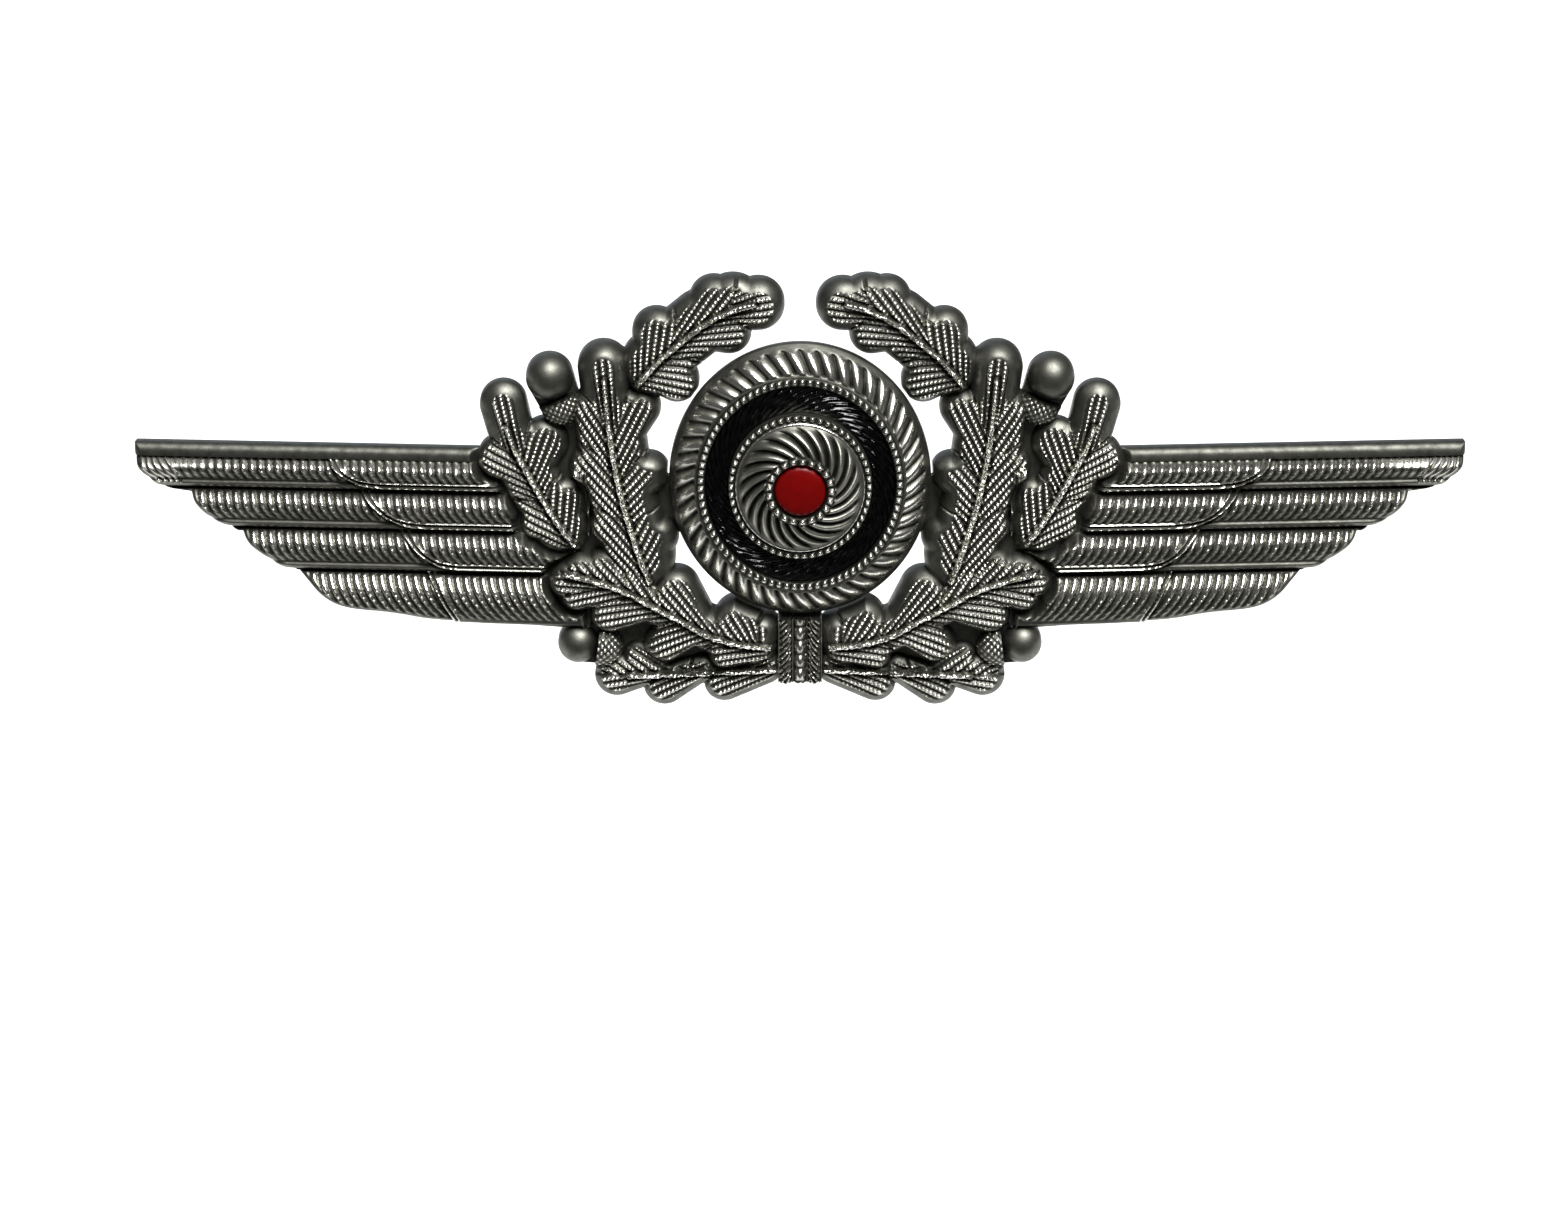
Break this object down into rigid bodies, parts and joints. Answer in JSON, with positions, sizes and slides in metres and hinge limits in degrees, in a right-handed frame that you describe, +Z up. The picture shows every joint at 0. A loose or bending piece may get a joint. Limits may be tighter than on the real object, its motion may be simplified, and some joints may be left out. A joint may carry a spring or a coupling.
{
  "type": "winged wreath cap badge",
  "caption": "Winged oak-leaf wreath badge with a round fluted cockade, black ring and red centre, fastened by bendable split pins at the back.",
  "frame": {"origin": "centre of the cockade on the wreath's back plane, where the cockade's split pin enters the cap", "axes": "+X along the wings to the wearer's left, +Y backwards into the cap, +Z up; the decorated front faces -Y"},
  "size_m": [0.1214, 0.0215, 0.0402],
  "materials": {
    "aged_silver_metal": "antiqued, dark in the recesses and bright on the ridges",
    "plain_steel": "plain sheet",
    "black_lacquer": "glossy black lacquer",
    "red_enamel": "satin red enamel",
    "pin_brass": "plain strip",
    "solder": "soft solder"
  },
  "bodies": {
    "badge": {"wreath": "aged_silver_metal", "left_wing": "aged_silver_metal", "right_wing": "aged_silver_metal", "cockade_back_plate": "plain_steel", "cockade_rim": "aged_silver_metal", "cockade_black_ring": "black_lacquer", "cockade_boss": "aged_silver_metal", "cockade_red_centre": "red_enamel", "cockade_pin_foot": "pin_brass", "cockade_pin_solder": "solder", "left_wing_pin_foot": "pin_brass", "left_wing_pin_solder": "solder", "right_wing_pin_foot": "pin_brass", "right_wing_pin_solder": "solder"},
    "cockade_upper_leg": {"cockade_pin_upper_leg": "pin_brass"},
    "cockade_lower_leg": {"cockade_pin_lower_leg": "pin_brass"},
    "left_outer_leg": {"left_wing_pin_outer_leg": "pin_brass"},
    "left_inner_leg": {"left_wing_pin_inner_leg": "pin_brass"},
    "right_outer_leg": {"right_wing_pin_outer_leg": "pin_brass"},
    "right_inner_leg": {"right_wing_pin_inner_leg": "pin_brass"}
  },
  "joints": [
    {"name": "cockade_pin_upper_bend", "type": "hinge", "parent": "badge", "child": "cockade_upper_leg", "pos_m": [0, 0.0025, 0.0004], "axis": [1, 0, 0], "range_deg": [0, 90]},
    {"name": "cockade_pin_lower_bend", "type": "hinge", "parent": "badge", "child": "cockade_lower_leg", "pos_m": [0, 0.0025, -0.0004], "axis": [-1, 0, 0], "range_deg": [0, 90]},
    {"name": "left_pin_outer_bend", "type": "hinge", "parent": "badge", "child": "left_outer_leg", "pos_m": [-0.03768, 0.00316, -0.0052], "axis": [0, 0, 1], "range_deg": [0, 90]},
    {"name": "left_pin_inner_bend", "type": "hinge", "parent": "badge", "child": "left_inner_leg", "pos_m": [-0.03688, 0.0031, -0.0052], "axis": [0, 0, -1], "range_deg": [0, 90]},
    {"name": "right_pin_outer_bend", "type": "hinge", "parent": "badge", "child": "right_outer_leg", "pos_m": [0.03768, 0.00316, -0.0052], "axis": [0, 0, -1], "range_deg": [0, 90]},
    {"name": "right_pin_inner_bend", "type": "hinge", "parent": "badge", "child": "right_inner_leg", "pos_m": [0.03688, 0.0031, -0.0052], "axis": [0, 0, 1], "range_deg": [0, 90]}
  ]
}
